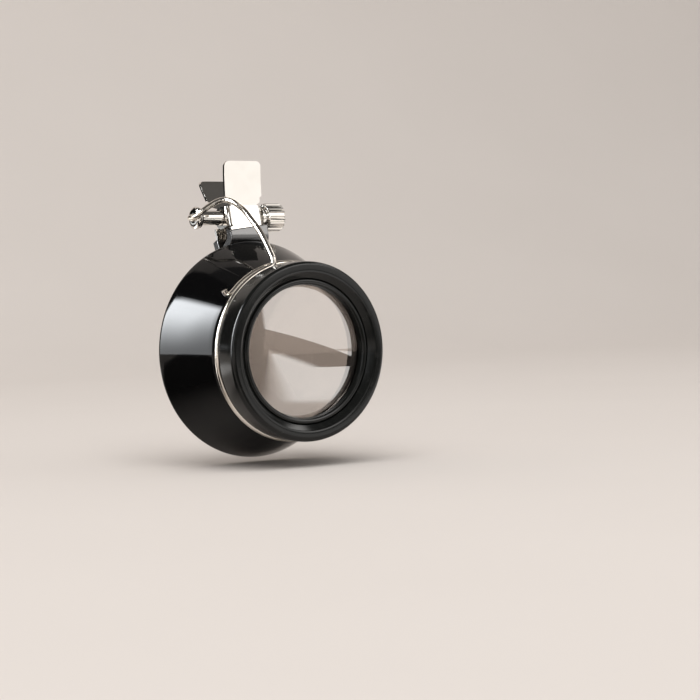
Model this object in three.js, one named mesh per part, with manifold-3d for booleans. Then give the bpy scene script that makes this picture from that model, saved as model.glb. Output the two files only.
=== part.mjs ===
// Clip-on watchmaker loupe: a spring clip, a bent wire bracket and a conical loupe.
// Millimetres. +Z is up, the loupe looks towards -Y, +X is to the right as seen from the front.
// The origin is the middle of the clip's grip, between the two sleeved jaw tips.
import * as THREE from "three";
import Module from "manifold-3d";
import { mergeVertices } from "three/addons/utils/BufferGeometryUtils.js";

const wasm = await Module();
wasm.setup();

// Loupe, with depths measured back from the bezel's front plane.
const BEZEL_DIA = 36;
const BEZEL_LENGTH = 5.3;
const BEZEL_EDGE = 1.3;
const BEZEL_LIP = 0.75;
const DISH_DEPTH = 1.5;
const BEAD_WIDTH = 1.4;
const BEAD_RISE = 0.55;
const RING_SEAT = 1.15;
const LENS_INSET = 3.8;
const LENS_LAP = 1.0;
const LENS_EDGE = 2.0;
const LENS_CURVE = 70;
const GROOVE_DEPTH = 1.05;
const CONE_INSET = 0.6;
const RIM_DIA = 45;
const CONE_LENGTH = 13.0;
const CUP_WALL = 1.6;
const FIT = 0.15;

// Bracket.
const WIRE_DIA = 1.2;
const STRAND_GAP = 0.5;
const FOOT_ANGLE = 13.9;
const TAIL_ANGLE = 47;
const HOOK_RADIUS = 1.1;
const ARCH_RISE = 3.6;
const ARCH_REACH = 5.1;
const CROWN_OUT = 2.2;
const STEM_OUT = 1.1;
const HEAD_OUT = 0.2;
const HEAD_BEND = 0.75;
const FOOT_BEND = 1.6;
const FOOT_RISE = 1.6;
const LOUPE_DROP = 27.3;
const LOUPE_ASIDE = 0.7;

// Clip, with heights measured from the pivot axis.
const SHEET = 0.6;
const TAB_WIDTH = 8.8;
const TAB_TOP = 11.8;
const TAB_LEAN = 3;
const TAB_NOD = 2;
const TAB_CORNER = 1.2;
const SHOULDER = 1.3;
const TAB_AHEAD = 1.95;
const CREASE = 2.5;
const JAW_SLOPE = 15;
const JAW_INSET = 0.5;
const CHANNEL_WIDTH = 8.6;
const BEND_RADIUS = 1.1;
const REAR_TAB_LENGTH = 9.7;
const REAR_LEAN = 38;
const REAR_BEHIND = 3.0;
const JAW_DEPTH = 9.0;
const SLEEVE_TOP = 1.9;
const SLEEVE_WALL = 0.5;
const GRIP_GAP = 0.4;
const RIM_GAP = 0.9;

// Pivot stack along X.
const TUBE_DIA = 3.0;
const TUBE_REACH = 5.15;
const SCREW_DIA = 2.0;
const HEAD_DIA = 4.8;
const HEAD_THICK = 0.9;
const WASHER_THICK = 0.4;
const NUT_DIA = 5.9;
const NUT_LENGTH = 4.65;
const NUT_RIDGES = 22;
const SPRING_DIA = 0.5;
const SPRING_TURNS = 3.5;

// Finishes.
const NICKEL = { color: 0xdad7d0, roughness: 0.16, metalness: 1 };
const SPRING_STEEL = { color: 0xc4beb4, roughness: 0.2, metalness: 1 };
const GLOSS_BLACK = { color: 0x0c0b0b, roughness: 0.05, metalness: 0 };
const SATIN_BLACK = { color: 0x25231f, roughness: 0.4, metalness: 0 };
const VINYL = { color: 0x1b1a19, roughness: 0.3, metalness: 0 };
const GLASS = { color: 0xe9e6dc, roughness: 0.02, metalness: 0, transparent: true, opacity: 0.35 };

const ROUND = 64;
const FAR = 60;
const X_AXIS = new THREE.Vector3(1, 0, 0);
const rad = THREE.MathUtils.degToRad;
const v2 = (x, y) => new THREE.Vector2(x, y);
const v3 = (x, y, z) => new THREE.Vector3(x, y, z);

// A geometry as a solid for boolean work, and back.
function solid(geometry) {
  const loose = geometry.index ? geometry.toNonIndexed() : geometry;
  const bare = new THREE.BufferGeometry();
  bare.setAttribute("position", loose.getAttribute("position"));
  const merged = mergeVertices(bare, 1e-4);
  return new wasm.Manifold(
    new wasm.Mesh({
      numProp: 3,
      vertProperties: merged.attributes.position.array,
      triVerts: new Uint32Array(merged.index.array),
    }),
  );
}
function geometryOf(made) {
  const mesh = made.getMesh();
  const geometry = new THREE.BufferGeometry();
  geometry.setAttribute("position", new THREE.BufferAttribute(mesh.vertProperties, 3));
  geometry.setIndex(new THREE.BufferAttribute(mesh.triVerts, 1));
  return geometry;
}

// Points of an arc about a centre, from one angle to another in degrees.
function arc(cx, cy, radius, from, to, steps) {
  const points = [];
  for (let i = 0; i <= steps; i++) {
    const a = rad(from + ((to - from) * i) / steps);
    points.push(v2(cx + radius * Math.cos(a), cy + radius * Math.sin(a)));
  }
  return points;
}

// A line through corner points, each corner rounded over a given distance.
function bentLine(corners, reach) {
  const path = new THREE.Path();
  path.moveTo(corners[0].x, corners[0].y);
  for (let i = 1; i < corners.length - 1; i++) {
    const [a, b, c] = corners.slice(i - 1, i + 2);
    const near = b.clone().lerp(a, Math.min(0.45, reach / b.distanceTo(a)));
    const far = b.clone().lerp(c, Math.min(0.45, reach / b.distanceTo(c)));
    path.lineTo(near.x, near.y);
    path.quadraticCurveTo(b.x, b.y, far.x, far.y);
  }
  const last = corners[corners.length - 1];
  path.lineTo(last.x, last.y);
  return path.getPoints(4);
}

// The outline of a strip that runs along a line, a half thickness to each side of it.
function strip(line, half) {
  const left = [];
  const right = [];
  line.forEach((p, i) => {
    const back = line[Math.max(i - 1, 0)];
    const ahead = line[Math.min(i + 1, line.length - 1)];
    const along = ahead.clone().sub(back).normalize();
    const side = v2(-along.y, along.x).multiplyScalar(half);
    left.push(p.clone().add(side));
    right.push(p.clone().sub(side));
  });
  return new THREE.Shape([...left, ...right.reverse()]);
}

// A shape drawn in (Y, Z) and drawn out along X, centred on X = 0.
function acrossX(shape, width) {
  const geometry = new THREE.ExtrudeGeometry(shape, { depth: width, bevelEnabled: false, curveSegments: 6 });
  geometry.translate(0, 0, -width / 2);
  return geometry.applyMatrix4(new THREE.Matrix4().makeBasis(v3(0, 1, 0), v3(0, 0, 1), v3(1, 0, 0)));
}

// A shape drawn in (X, Z) and drawn out along Y, far to both sides.
function alongY(shape) {
  const geometry = new THREE.ExtrudeGeometry(shape, { depth: FAR, bevelEnabled: false, curveSegments: 5 });
  return geometry.translate(0, 0, -FAR / 2).rotateX(Math.PI / 2);
}

// A turned piece whose axis lies along X.
function turnedX(profile, sides) {
  return new THREE.LatheGeometry(profile, sides).rotateZ(-Math.PI / 2);
}
function rodX(radius, from, to, sides) {
  return turnedX([v2(0, from), v2(radius, from), v2(radius, to), v2(0, to)], sides);
}
function tubeX(outer, inner, from, to, sides) {
  const ends = [v2(inner, from), v2(outer, from), v2(outer, to), v2(inner, to), v2(inner, from)];
  return turnedX(ends, sides);
}

// A round wire through points, with one ring of the tube at each point.
class Route extends THREE.CatmullRomCurve3 {
  getPointAt(u) {
    return this.getPoint(u);
  }
  getTangentAt(u) {
    return this.getTangent(u);
  }
  getSpacedPoints(n) {
    return this.getPoints(n);
  }
}
function wire(points, diameter, sides) {
  const section = [];
  for (let i = 0; i < sides; i++) {
    const a = (2 * Math.PI * i) / sides;
    section.push(v2((diameter / 2) * Math.cos(a), (diameter / 2) * Math.sin(a)));
  }
  return new THREE.ExtrudeGeometry(new THREE.Shape(section), {
    steps: points.length - 1,
    extrudePath: new Route(points),
    bevelEnabled: false,
  });
}

// The least clear distance between stretches of one wire, apart from those next to each other.
function selfGap(points, diameter) {
  const fine = new Route(points).getPoints(points.length * 4);
  const run = [0];
  for (let i = 1; i < fine.length; i++) run.push(run[i - 1] + fine[i].distanceTo(fine[i - 1]));
  let least = Infinity;
  for (let i = 0; i < fine.length; i++) {
    for (let j = i + 1; j < fine.length; j++) {
      if (run[j] - run[i] < 3 * diameter) continue;
      least = Math.min(least, fine[i].distanceTo(fine[j]) - diameter);
    }
  }
  return least;
}

function put(group, name, finish, geometry) {
  const mesh = new THREE.Mesh(geometry, new THREE.MeshStandardMaterial(finish));
  mesh.name = name;
  group.add(mesh);
}

// Places that more than one piece depends on. Lines of the jaws are drawn in (Y, Z) about the pivot axis.
const half = SHEET / 2;
const sleeveHalf = half + FIT + SLEEVE_WALL;
const tipBehind = GRIP_GAP / 2 + sleeveHalf;
const slopeRun = Math.tan(rad(JAW_SLOPE));
const kneeDown = 0.5 * JAW_DEPTH;
const tipTop = 0.78 * JAW_DEPTH;
const kneeAhead = TAB_AHEAD + (CREASE + kneeDown) * slopeRun;
const sleeveAhead = TAB_AHEAD + (CREASE + SLEEVE_TOP) * slopeRun;
const gripHeight = (tipTop + JAW_DEPTH) / 2;
const rimAhead = kneeAhead + sleeveHalf + RIM_GAP;
const coneStart = BEZEL_LENGTH + FIT + 2 * WIRE_DIA + STRAND_GAP + 3 * FIT;
const loupeLength = coneStart + CONE_LENGTH;
const firstStrand = BEZEL_LENGTH + 2 * FIT + WIRE_DIA / 2;
const earOut = CHANNEL_WIDTH / 2;
const tubeLeft = -earOut - TUBE_REACH;
const tubeRight = earOut + 0.4;
const washerLeft = tubeLeft - 0.1 - WASHER_THICK;
const headRight = washerLeft - 0.1;
const headLeft = headRight - HEAD_THICK;
const nutLeft = tubeRight + WASHER_THICK + 0.2;

const part = new THREE.Group();
part.name = "clip_on_loupe";
const pivot = new THREE.Group();
pivot.position.set(0, 0, gripHeight);
const loupe = new THREE.Group();
loupe.position.set(-LOUPE_ASIDE, -rimAhead - loupeLength, gripHeight - LOUPE_DROP);
part.add(pivot, loupe);

// Loupe: every piece is turned about the optical axis, which is the lathe's own Y axis.
const bezelR = BEZEL_DIA / 2;
const neckR = bezelR - GROOVE_DEPTH;
const lensR = bezelR - LENS_INSET;
const apertureR = lensR - LENS_LAP;
const beadR = apertureR + BEAD_WIDTH;
const ringBack = DISH_DEPTH + RING_SEAT;
const collarFront = ringBack + 0.2;
const collarR = neckR - 0.6;
const sag = (r) => LENS_CURVE - Math.sqrt(LENS_CURVE * LENS_CURVE - r * r);
const lensFront = collarFront + 0.2;
const lensBack = lensFront + LENS_EDGE;
const boreR = lensR - 0.85;
const seat = lensBack + sag(lensR) - sag(boreR) + FIT;

const lensPoints = [];
for (let i = 0; i <= 5; i++) {
  const r = (lensR * i) / 5;
  lensPoints.push(v2(r, lensFront - sag(lensR) + sag(r)));
}
for (let i = 5; i >= 0; i--) {
  const r = (lensR * i) / 5;
  lensPoints.push(v2(r, lensBack + sag(lensR) - sag(r)));
}
put(loupe, "lens", GLASS, new THREE.LatheGeometry(lensPoints, ROUND));

const beadMid = beadR - BEAD_WIDTH * 0.4;
const beadFront = DISH_DEPTH - BEAD_RISE;
const ringEase = BEAD_WIDTH / 4;
put(
  loupe,
  "lens_retaining_ring",
  SATIN_BLACK,
  new THREE.LatheGeometry(
    [
      v2(apertureR, ringBack - ringEase),
      v2(beadMid - BEAD_WIDTH * 0.32, beadFront + BEAD_RISE * 0.45),
      v2(beadMid, beadFront),
      v2(beadMid + BEAD_WIDTH * 0.27, beadFront + BEAD_RISE * 0.36),
      v2(beadR, beadFront + BEAD_RISE * 1.27),
      v2(beadR, ringBack),
      v2(apertureR + ringEase, ringBack),
      v2(apertureR, ringBack - ringEase),
    ],
    ROUND,
  ),
);

const edgeIn = bezelR - BEZEL_EDGE;
const dishOuter = edgeIn - BEZEL_LIP;
const dishInner = beadR + FIT;
put(
  loupe,
  "front_bezel",
  SATIN_BLACK,
  new THREE.LatheGeometry(
    [
      v2(dishInner, ringBack),
      v2(dishInner, DISH_DEPTH + 0.1),
      v2(dishInner + 0.25, DISH_DEPTH - 0.05),
      v2((dishInner + dishOuter) / 2, DISH_DEPTH * 0.36),
      v2(dishOuter, 0),
      ...arc(edgeIn, BEZEL_EDGE, BEZEL_EDGE, -90, 0, 6),
      v2(bezelR, BEZEL_LENGTH - 0.35),
      v2(bezelR - 0.35, BEZEL_LENGTH),
      v2(collarR + FIT, BEZEL_LENGTH),
      v2(collarR + FIT, ringBack),
      v2(dishInner, ringBack),
    ],
    ROUND,
  ),
);

const coneR = bezelR - CONE_INSET;
const rimR = RIM_DIA / 2;
const rimRound = CUP_WALL / 2;
const innerStart = coneStart + 1.2;
put(
  loupe,
  "housing",
  GLOSS_BLACK,
  new THREE.LatheGeometry(
    [
      v2(lensR + FIT, collarFront),
      v2(collarR, collarFront),
      v2(collarR, BEZEL_LENGTH + FIT),
      v2(neckR, BEZEL_LENGTH + FIT),
      v2(neckR, coneStart - 0.25),
      v2(coneR, coneStart),
      v2(coneR + (rimR - coneR) * 0.36, coneStart + CONE_LENGTH * 0.33),
      v2(coneR + (rimR - coneR) * 0.7, coneStart + CONE_LENGTH * 0.66),
      ...arc(rimR - rimRound, loupeLength - rimRound, rimRound, 0, 180, 6),
      v2(coneR + (rimR - coneR) * 0.36 - CUP_WALL, coneStart + CONE_LENGTH * 0.33),
      v2(boreR, innerStart),
      v2(boreR, seat),
      v2(lensR + FIT, seat),
      v2(lensR + FIT, collarFront),
    ],
    ROUND,
  ),
);

// Wire bracket: from the screw head over an arch and down a stem, once round the neck, then a hook.
const ringR = neckR + FIT + WIRE_DIA / 2;
const ringY = -rimAhead - loupeLength + firstStrand;
const secondY = ringY + WIRE_DIA + STRAND_GAP;
const onRing = (angle, radius, y) => {
  const a = rad(angle);
  return v3(radius * Math.sin(a) - LOUPE_ASIDE, y, radius * Math.cos(a) - LOUPE_DROP);
};
const wireX = headLeft - HEAD_OUT - HEAD_BEND;
const crownX = -earOut - CROWN_OUT;
const stemX = -earOut - STEM_OUT;
const arch = (across, ahead, rise) =>
  v3(THREE.MathUtils.lerp(wireX, crownX, across), -ahead * ARCH_REACH, rise * ARCH_RISE);
const foot = onRing(-FOOT_ANGLE, ringR, ringY);
const riser = foot.clone().add(v3(0, 0, FOOT_RISE));
const brow = v3(stemX, -1.72 * ARCH_REACH, 0.67 * ARCH_RISE);
const knee = v3(stemX, THREE.MathUtils.lerp(brow.y, foot.y, 0.4), THREE.MathUtils.lerp(brow.z, foot.z, 0.24));
const leave = v3(headLeft - HEAD_OUT, 0, 0);
const away = v3(0, -1, 0.2).normalize();
const headBend = [30, 60, 90].map((a) =>
  leave
    .clone()
    .add(v3(-HEAD_BEND * Math.sin(rad(a)), 0, 0))
    .addScaledVector(away, HEAD_BEND * (1 - Math.cos(rad(a)))),
);
const stem = [
  v3(headLeft + HEAD_THICK * 0.5, 0, 0),
  v3(headLeft, 0, 0),
  leave,
  ...headBend,
  arch(0.055, 0.5, 0.1),
  arch(0.2, 0.71, 0.37),
  arch(0.48, 0.8, 0.67),
  arch(0.755, 0.88, 0.9),
  arch(1, 1, 1),
  v3(THREE.MathUtils.lerp(crownX, stemX, 0.65), -1.3 * ARCH_REACH, 0.93 * ARCH_RISE),
  brow,
  brow.clone().lerp(knee, 0.5).add(v3(0, -WIRE_DIA / 8, WIRE_DIA / 6)),
  knee,
];
const between = (from, to, reach) => from.clone().lerp(to, reach / from.distanceTo(to));
const footTurn = (FOOT_BEND / ringR) * THREE.MathUtils.RAD2DEG;
const upper = new THREE.QuadraticBezierCurve3(
  between(riser, knee, FOOT_RISE / 2),
  riser,
  between(riser, foot, FOOT_RISE * 0.45),
);
const lower = new THREE.QuadraticBezierCurve3(
  between(foot, riser, FOOT_RISE * 0.5),
  foot,
  onRing(-FOOT_ANGLE - footTurn, ringR, ringY),
);
const bow = v3(0, -WIRE_DIA / 5, WIRE_DIA / 4);
const leg = [0.33, 0.66].map((f) => knee.clone().lerp(upper.v0, f).add(bow));
const bendRow = [...upper.getPoints(2), ...lower.getPoints(4)];
const ringPoints = [];
const turn = 360 + TAIL_ANGLE - FOOT_ANGLE;
const ringSteps = Math.round(turn / 9);
for (let i = 1; i <= ringSteps; i++) {
  const swept = footTurn + ((turn - footTurn) * i) / ringSteps;
  const step = THREE.MathUtils.smoothstep(swept, 150, 335);
  ringPoints.push(onRing(-FOOT_ANGLE - swept, ringR, THREE.MathUtils.lerp(ringY, secondY, step)));
}
const tailOut = v3(-Math.sin(rad(TAIL_ANGLE)), 0, Math.cos(rad(TAIL_ANGLE)));
const tailOn = v3(-Math.cos(rad(TAIL_ANGLE)), 0, -Math.sin(rad(TAIL_ANGLE)));
const hookCentre = ringPoints[ringPoints.length - 1].clone().addScaledVector(tailOut, HOOK_RADIUS);
const hook = [25, 50, 75, 100, 125].map((a) =>
  hookCentre
    .clone()
    .addScaledVector(tailOut, -HOOK_RADIUS * Math.cos(rad(a)))
    .addScaledVector(tailOn, HOOK_RADIUS * Math.sin(rad(a))),
);
const wirePoints = [...stem, ...leg, ...bendRow, ...ringPoints, ...hook];
put(pivot, "wire_bracket", SPRING_STEEL, wire(wirePoints, WIRE_DIA, 8));
console.log("wire_bracket least gap to itself", selfGap(wirePoints, WIRE_DIA).toFixed(2));

// Front jaw: a bent strip cut to outline, with a channel whose sides are the ears.
const creaseAt = v2(-TAB_AHEAD, CREASE);
const tabBack = (height) => (height - CREASE) * Math.tan(rad(TAB_LEAN));
const tabKink = TAB_TOP * 0.72;
const frontLine = [
  v2(tabBack(tabKink) - TAB_AHEAD - (TAB_TOP - tabKink) * Math.tan(rad(TAB_NOD)), TAB_TOP),
  v2(tabBack(tabKink) - TAB_AHEAD, tabKink),
  creaseAt,
  v2(-kneeAhead, -kneeDown),
  v2(-tipBehind, -tipTop),
  v2(-tipBehind, -JAW_DEPTH),
];
const tubeR = TUBE_DIA / 2;
const earR = tubeR + 0.85;
const rearEarR = tubeR + 0.5;
const webHalf = earOut - BEND_RADIUS - 0.1;
const tabHalf = TAB_WIDTH / 2;
const jawHalf = tabHalf - JAW_INSET;

function outline(top, neckTop, neckBottom, neckHalf, bottom) {
  const shape = new THREE.Shape();
  const c = TAB_CORNER;
  const halfWidth = tabHalf;
  const bottomHalf = jawHalf;
  shape.moveTo(-halfWidth, neckTop + SHOULDER);
  shape.lineTo(-bottomHalf, neckTop + SHOULDER - 0.3);
  shape.lineTo(-bottomHalf, neckTop);
  shape.lineTo(-neckHalf, neckTop - 0.5);
  shape.lineTo(-neckHalf, neckBottom);
  shape.lineTo(-bottomHalf, neckBottom - 0.3);
  shape.lineTo(-bottomHalf, bottom + 0.6);
  shape.quadraticCurveTo(-bottomHalf, bottom, -bottomHalf + 0.6, bottom);
  shape.lineTo(bottomHalf - 0.6, bottom);
  shape.quadraticCurveTo(bottomHalf, bottom, bottomHalf, bottom + 0.6);
  shape.lineTo(bottomHalf, neckBottom - 0.3);
  shape.lineTo(neckHalf, neckBottom);
  shape.lineTo(neckHalf, neckTop - 0.5);
  shape.lineTo(bottomHalf, neckTop);
  shape.lineTo(bottomHalf, neckTop + SHOULDER - 0.3);
  shape.lineTo(halfWidth, neckTop + SHOULDER);
  shape.lineTo(halfWidth, top - c);
  shape.absarc(halfWidth - c, top - c, c, 0, Math.PI / 2, false);
  shape.lineTo(-halfWidth + c, top);
  shape.absarc(-halfWidth + c, top - c, c, Math.PI / 2, Math.PI, false);
  return shape;
}

// A channel with rounded bends: its web lies at depth 0 and its sides reach back to a given depth.
// The web stands a hair proud of the strip that it joins, so that no two faces coincide.
function channel(width, depth, length) {
  const w = width / 2;
  const r = BEND_RADIUS;
  const front = -half - 0.04;
  const back = half + 0.04;
  const inner = r - SHEET;
  const shape = new THREE.Shape();
  shape.moveTo(-w, depth);
  shape.lineTo(-w, front + r);
  shape.absarc(-w + r, front + r, r, Math.PI, 1.5 * Math.PI, false);
  shape.lineTo(w - r, front);
  shape.absarc(w - r, front + r, r, 1.5 * Math.PI, 2 * Math.PI, false);
  shape.lineTo(w, depth);
  shape.lineTo(w - SHEET, depth);
  shape.lineTo(w - SHEET, back + inner);
  shape.absarc(w - SHEET - inner, back + inner, inner, 0, -Math.PI / 2, true);
  shape.lineTo(-w + SHEET + inner, back);
  shape.absarc(-w + SHEET + inner, back + inner, inner, -Math.PI / 2, -Math.PI, true);
  shape.lineTo(-w + SHEET, depth);
  const geometry = new THREE.ExtrudeGeometry(shape, { depth: length, bevelEnabled: false, curveSegments: 5 });
  return geometry.translate(0, 0, -length / 2);
}

// The side outline of an ear, in (depth, height): square to the web, round about the axis.
function earSide(axisDepth, axisHeight, radius, top, bottom) {
  const shape = new THREE.Shape();
  shape.moveTo(-2 * SHEET, bottom);
  shape.lineTo(0, bottom);
  shape.lineTo(axisDepth, axisHeight - radius);
  shape.absarc(axisDepth, axisHeight, radius, -Math.PI / 2, Math.PI / 2, false);
  shape.lineTo(0, top);
  shape.lineTo(-2 * SHEET, top);
  const geometry = new THREE.ExtrudeGeometry(shape, { depth: FAR, bevelEnabled: false, curveSegments: 8 });
  geometry.translate(0, 0, -FAR / 2);
  return geometry.applyMatrix4(new THREE.Matrix4().makeBasis(v3(0, 1, 0), v3(0, 0, 1), v3(1, 0, 0)));
}

const slope = rad(JAW_SLOPE);
const axisDepth = TAB_AHEAD * Math.cos(slope) + CREASE * Math.sin(slope);
const axisHeight = TAB_AHEAD * Math.sin(slope) - CREASE * Math.cos(slope);
const frontBasis = new THREE.Matrix4().makeBasis(
  X_AXIS,
  v3(0, Math.cos(slope), -Math.sin(slope)),
  v3(0, Math.sin(slope), Math.cos(slope)),
);
frontBasis.setPosition(0, creaseAt.x, creaseAt.y);
const earBottom = axisHeight - earR;
const frontEars = solid(channel(CHANNEL_WIDTH, axisDepth + 2 * earR, FAR).applyMatrix4(frontBasis)).intersect(
  solid(earSide(axisDepth, axisHeight, earR, -0.15, earBottom).applyMatrix4(frontBasis)),
);
const neckBottom = CREASE + earBottom * Math.cos(slope);
const frontPlate = solid(acrossX(strip(bentLine(frontLine, 0.9), half), 2 * CHANNEL_WIDTH)).intersect(
  solid(alongY(outline(TAB_TOP, CREASE + 0.7, neckBottom, webHalf, -JAW_DEPTH))),
);
const earHole = solid(rodX(tubeR + FIT, -FAR / 2, FAR / 2, 28));
put(pivot, "front_jaw", NICKEL, geometryOf(frontPlate.add(frontEars).subtract(earHole)));

// Rear jaw: the same kind of piece, leaning back, its ears inside those of the front jaw.
const lean = rad(REAR_LEAN);
const rearTop = v2(REAR_BEHIND + REAR_TAB_LENGTH * Math.sin(lean), 0.3 + REAR_TAB_LENGTH * Math.cos(lean));
const rearLine = [
  rearTop,
  v2(REAR_BEHIND, 0.3),
  v2(REAR_BEHIND, -0.36 * JAW_DEPTH),
  v2(tipBehind, -tipTop),
  v2(tipBehind, -JAW_DEPTH),
];
const rearWidth = CHANNEL_WIDTH - 2 * SHEET - 4 * FIT;
const rearBasis = new THREE.Matrix4().makeBasis(X_AXIS, v3(0, -1, 0), v3(0, 0, -1));
rearBasis.setPosition(0, REAR_BEHIND, 0);
const rearEars = solid(channel(rearWidth, REAR_BEHIND + 2 * rearEarR, FAR).applyMatrix4(rearBasis)).intersect(
  solid(earSide(REAR_BEHIND, 0, rearEarR, rearEarR, -0.3).applyMatrix4(rearBasis)),
);
const rearWeb = rearWidth / 2 - BEND_RADIUS - 0.1;
const rearPlate = solid(acrossX(strip(bentLine(rearLine, 0.9), half), 2 * CHANNEL_WIDTH)).intersect(
  solid(alongY(outline(rearTop.y, rearEarR + 0.3, -rearEarR, rearWeb, -JAW_DEPTH))),
);
put(pivot, "rear_jaw", NICKEL, geometryOf(rearPlate.add(rearEars).subtract(earHole)));

// Sleeves: each follows the end of its jaw, with a pocket that the jaw fills.
function sleeve(line, name) {
  const end = line[line.length - 1];
  const skin = FIT + SLEEVE_WALL;
  const outerLine = [...line.slice(0, -1), v2(end.x, end.y - skin)];
  const start = line[0];
  const pull = start.clone().sub(line[1]).normalize();
  const innerLine = [start.clone().add(pull), ...line.slice(0, -1), v2(end.x, end.y - FIT)];
  const body = solid(acrossX(strip(bentLine(outerLine, 0.9), sleeveHalf), 2 * (jawHalf + skin)));
  const pocket = solid(acrossX(strip(bentLine(innerLine, 0.9), half + FIT), 2 * (jawHalf + FIT)));
  put(pivot, name, VINYL, geometryOf(body.subtract(pocket)));
}
sleeve([v2(-sleeveAhead, -SLEEVE_TOP), ...frontLine.slice(3)], "front_jaw_sleeve");
const rearSlant = v2(REAR_BEHIND, -0.36 * JAW_DEPTH).lerp(v2(tipBehind, -tipTop), 0.4);
sleeve([rearSlant, ...rearLine.slice(3)], "rear_jaw_sleeve");

// Pivot: hinge tube, screw, washers and knurled nut on one axis along X.
const screwR = SCREW_DIA / 2;
const headR = HEAD_DIA / 2;
const socketR = WIRE_DIA / 2 + FIT;
const screwEnd = nutLeft + NUT_LENGTH - 0.5;
put(pivot, "hinge_tube", NICKEL, tubeX(tubeR, screwR + FIT, tubeLeft, tubeRight, 28));
put(
  pivot,
  "friction_washer",
  GLOSS_BLACK,
  tubeX(headR - 0.3, screwR + FIT, washerLeft, washerLeft + WASHER_THICK, 24),
);
put(
  pivot,
  "nut_washer",
  NICKEL,
  tubeX(headR - 0.2, screwR + FIT, tubeRight + 0.1, tubeRight + 0.1 + WASHER_THICK, 24),
);
put(
  pivot,
  "pivot_screw",
  NICKEL,
  turnedX(
    [
      v2(0, headLeft + HEAD_THICK * 0.65),
      v2(socketR, headLeft + HEAD_THICK * 0.65),
      v2(socketR, headLeft),
      v2(headR - 0.55, headLeft + 0.05),
      v2(headR - 0.15, headLeft + 0.25),
      v2(headR, headLeft + 0.6),
      v2(headR, headRight),
      v2(screwR, headRight),
      v2(screwR, screwEnd - 0.25),
      v2(screwR - 0.25, screwEnd),
      v2(0, screwEnd),
    ],
    28,
  ),
);

const nutR = NUT_DIA / 2;
const ridges = [];
for (let i = 0; i < NUT_RIDGES; i++) {
  const a = (2 * Math.PI * i) / NUT_RIDGES;
  const step = (2 * Math.PI) / NUT_RIDGES;
  for (const [f, r] of [[0, nutR - 0.32], [0.3, nutR], [0.7, nutR]]) {
    ridges.push(v2(r * Math.cos(a + f * step), r * Math.sin(a + f * step)));
  }
}
const bossEnd = nutLeft + 0.6;
const nutEnd = nutLeft + NUT_LENGTH;
const knurl = new THREE.ExtrudeGeometry(new THREE.Shape(ridges), { depth: nutEnd - bossEnd, bevelEnabled: false });
knurl.translate(0, 0, bossEnd).applyMatrix4(new THREE.Matrix4().makeBasis(v3(0, 1, 0), v3(0, 0, 1), X_AXIS));
const rounding = turnedX(
  [
    v2(0, bossEnd - 1),
    v2(nutR - 1.4, bossEnd - 1),
    v2(nutR + 0.1, bossEnd + 0.5),
    v2(nutR + 0.1, nutEnd - 0.6),
    v2(nutR - 0.5, nutEnd + 0.1),
    v2(0, nutEnd + 0.1),
  ],
  ROUND,
);
const boss = rodX(nutR - 1.0, nutLeft, bossEnd + 0.5, 24);
const thread = rodX(screwR + FIT, nutLeft - 1, nutEnd + 1, 24);
put(
  pivot,
  "knurled_nut",
  NICKEL,
  geometryOf(solid(knurl).intersect(solid(rounding)).add(solid(boss)).subtract(solid(thread))),
);

// Torsion spring round the hinge tube, a leg on the inside of each tab.
const coilR = tubeR + FIT + SPRING_DIA / 2;
const pitch = SPRING_DIA + STRAND_GAP;
const coilSteps = Math.round(SPRING_TURNS * 8);
const coil = [];
for (let i = 0; i <= coilSteps; i++) {
  const a = 2 * Math.PI * SPRING_TURNS * (i / coilSteps);
  const x = pitch * SPRING_TURNS * (i / coilSteps - 0.5);
  coil.push(v3(x, -coilR * Math.cos(a), -coilR * Math.sin(a)));
}
const frontRest = (z) => tabBack(z) - TAB_AHEAD + half + FIT + SPRING_DIA / 2;
const legTop = CREASE + 2.2;
const legA = [1, 0.5].map((f) => v3(coil[0].x, frontRest(legTop * f), legTop * f));
const rearRest = (z) => REAR_BEHIND + (z - 0.3) * Math.tan(lean) - (half + FIT + SPRING_DIA / 2) / Math.cos(lean);
const coilEnd = coil[coil.length - 1];
const legB = [0.45, 0.75, 1].map((f) => v3(coilEnd.x, rearRest(legTop * f), legTop * f));
const springPoints = [...legA, ...coil, ...legB];
put(pivot, "jaw_spring", SPRING_STEEL, wire(springPoints, SPRING_DIA, 5));
console.log("jaw_spring least gap to itself", selfGap(springPoints, SPRING_DIA).toFixed(2));

export default part;
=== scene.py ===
"""Clip-on loupe: the finished surfaces of every piece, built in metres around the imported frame."""

import math

import bpy
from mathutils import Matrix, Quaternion, Vector


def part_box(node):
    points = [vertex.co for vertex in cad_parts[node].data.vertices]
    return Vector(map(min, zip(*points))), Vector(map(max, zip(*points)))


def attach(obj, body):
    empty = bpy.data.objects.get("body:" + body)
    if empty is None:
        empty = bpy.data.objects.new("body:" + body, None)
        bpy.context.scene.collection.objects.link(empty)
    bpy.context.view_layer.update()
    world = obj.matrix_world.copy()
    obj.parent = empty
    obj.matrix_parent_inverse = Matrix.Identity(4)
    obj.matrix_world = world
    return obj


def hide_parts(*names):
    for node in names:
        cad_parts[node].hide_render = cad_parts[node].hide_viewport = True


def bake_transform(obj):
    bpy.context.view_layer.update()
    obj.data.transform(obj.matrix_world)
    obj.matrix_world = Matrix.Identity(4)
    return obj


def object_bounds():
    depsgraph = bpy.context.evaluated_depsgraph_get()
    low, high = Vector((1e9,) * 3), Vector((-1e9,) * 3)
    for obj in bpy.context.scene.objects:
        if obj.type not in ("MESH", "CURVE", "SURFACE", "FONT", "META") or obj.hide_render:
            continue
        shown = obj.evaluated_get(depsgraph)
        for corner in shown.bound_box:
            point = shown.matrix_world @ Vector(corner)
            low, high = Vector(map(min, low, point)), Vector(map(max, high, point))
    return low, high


MM = 0.001

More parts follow.
